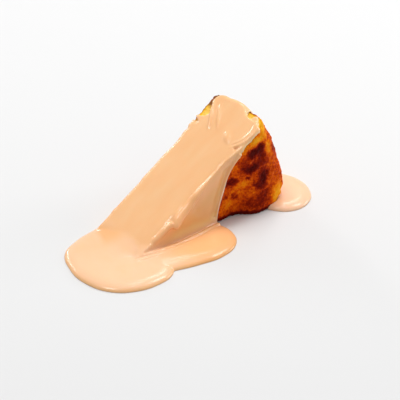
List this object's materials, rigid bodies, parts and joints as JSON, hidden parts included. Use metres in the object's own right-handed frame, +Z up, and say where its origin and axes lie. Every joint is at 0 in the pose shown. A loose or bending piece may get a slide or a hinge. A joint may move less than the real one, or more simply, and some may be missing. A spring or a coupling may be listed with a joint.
{
  "type": "basque cheesecake",
  "caption": "Slice of burnt-top cheesecake lying on its cut face, covered with a poured glossy cream sauce that spreads into pools round its tip and rim.",
  "frame": {"origin": "centre of the whole part's box, at the level of the ground it rests on", "axes": "+X from the slice's tip towards the rim, +Y from the cake's burnt top towards its base, +Z up"},
  "size_m": [0.184, 0.0794, 0.0633],
  "materials": {
    "crust": "mottled dark brown to orange baked crust, slightly moist, with pale yellow custard where the cut shows",
    "sauce": "smooth glossy peach-coloured cream sauce"
  },
  "bodies": {
    "root": {"cheesecake": "crust", "cream_sauce": "sauce"}
  },
  "joints": []
}
